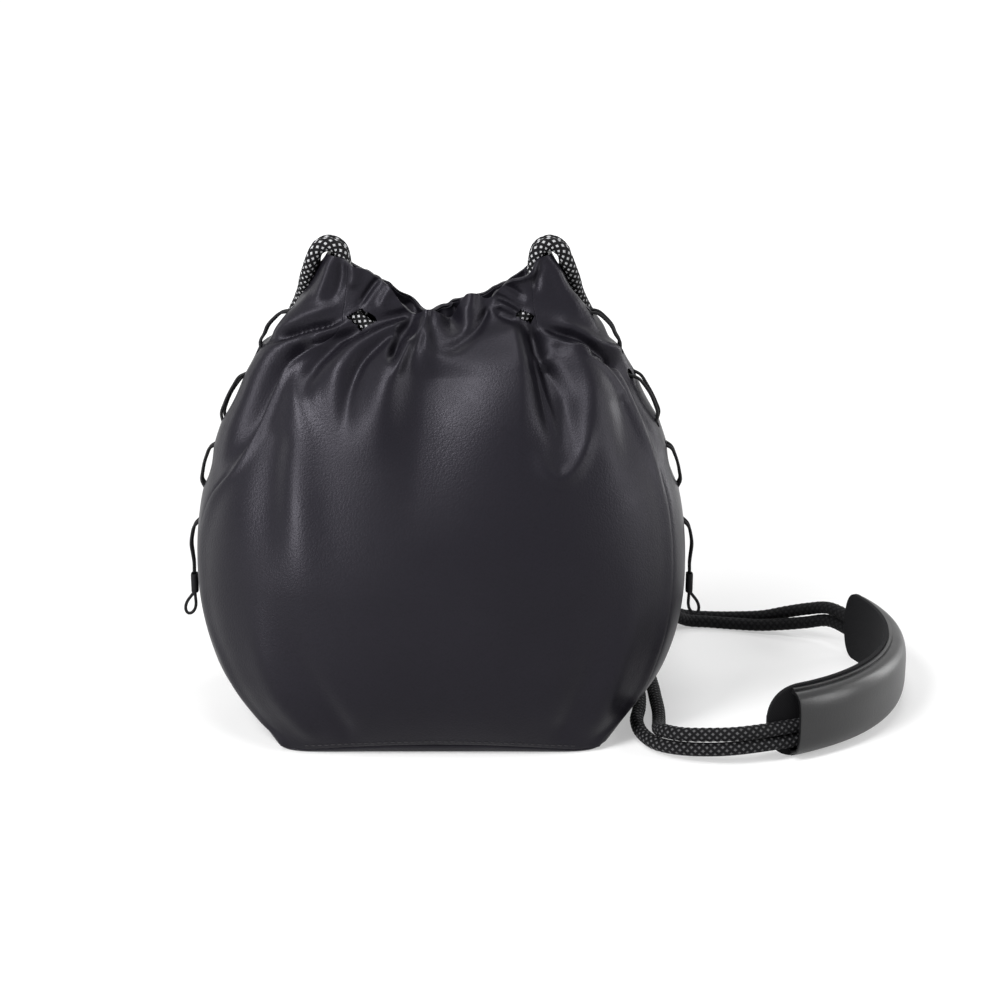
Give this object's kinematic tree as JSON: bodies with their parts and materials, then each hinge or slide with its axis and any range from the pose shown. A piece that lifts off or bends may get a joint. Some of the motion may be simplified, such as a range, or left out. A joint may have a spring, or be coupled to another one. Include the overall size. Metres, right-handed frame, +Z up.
{
  "type": "drawstring pouch",
  "caption": "Soft leather drawstring shoulder pouch with a pinched mouth, laced side gussets, a doubled rope strap and a curved shoulder pad.",
  "frame": {"origin": "on the floor under the middle of the bag's base", "axes": "+Z up, -Y towards the bag's front panel, +X to the bag's right as seen from the front, the side where the strap's pad lies"},
  "size_m": [0.3769, 0.2094, 0.2488],
  "materials": {
    "leather": "soft satin grain",
    "board": "stiff fibre board",
    "lining": "matte woven",
    "rope": "braided",
    "lace": "fine braid",
    "pad_leather": "smooth satin",
    "pad_lining": "matte suede"
  },
  "bodies": {
    "bag": {"front_panel": "leather", "back_panel": "leather", "left_gusset": "leather", "right_gusset": "leather", "base_panel": "leather", "base_board": "board", "lining": "lining", "front_facing": "leather", "back_facing": "leather", "front_mouth_rope": "rope", "back_mouth_rope": "rope", "strap_rope_a": "rope", "strap_rope_b": "rope", "left_lace": "lace", "right_lace": "lace"},
    "shoulder_pad": {"pad_cover": "pad_leather", "pad_lining": "pad_lining"},
    "left_pull": {"left_lace_sleeve": "lace", "left_pull_loop": "lace"},
    "right_pull": {"right_lace_sleeve": "lace", "right_pull_loop": "lace"}
  },
  "joints": [
    {"name": "shoulder_pad_slide", "type": "hinge", "parent": "bag", "child": "shoulder_pad", "pos_m": [0.132, 0.031, 0], "axis": [0, 0, 1], "range_deg": [-8, 8]},
    {"name": "left_pull_swing", "type": "hinge", "parent": "bag", "child": "left_pull", "pos_m": [-0.129, 0, 0.0742], "axis": [0, 1, 0], "range_deg": [-3, 80]},
    {"name": "right_pull_swing", "type": "hinge", "parent": "bag", "child": "right_pull", "pos_m": [0.129, 0, 0.0742], "axis": [0, -1, 0], "range_deg": [-3, 80]}
  ]
}
